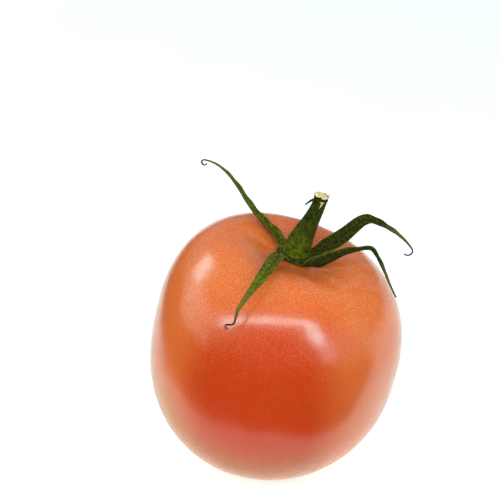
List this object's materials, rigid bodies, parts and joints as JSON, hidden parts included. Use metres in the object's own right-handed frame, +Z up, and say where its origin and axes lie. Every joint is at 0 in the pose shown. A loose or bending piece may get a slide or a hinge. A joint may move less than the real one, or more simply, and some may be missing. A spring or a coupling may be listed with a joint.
{
  "type": "pink tomato",
  "caption": "Whole ripe pink tomato, as picked: a squarish round fruit with a sunken top, a green calyx of narrow curling sepals and a short torn stem. It rests on a small flat spot.",
  "frame": {"origin": "middle of the small flat spot under the fruit, on the surface that it rests on", "axes": "+Z up from the resting surface; the stem leans towards +X; the picture looks along +Y and down"},
  "size_m": [0.085, 0.0823, 0.0946],
  "materials": {
    "skin": "smooth, thin and waxy skin with a soft gloss and fine golden specks",
    "sepals": "matte green leaf with fine pale hairs",
    "stem": "matte green stalk with fine pale hairs",
    "torn_tissue": "pale, fibrous and ragged"
  },
  "bodies": {
    "root": {"fruit": "skin", "calyx": "sepals", "stem": "stem", "stem_end": "torn_tissue"}
  },
  "joints": []
}
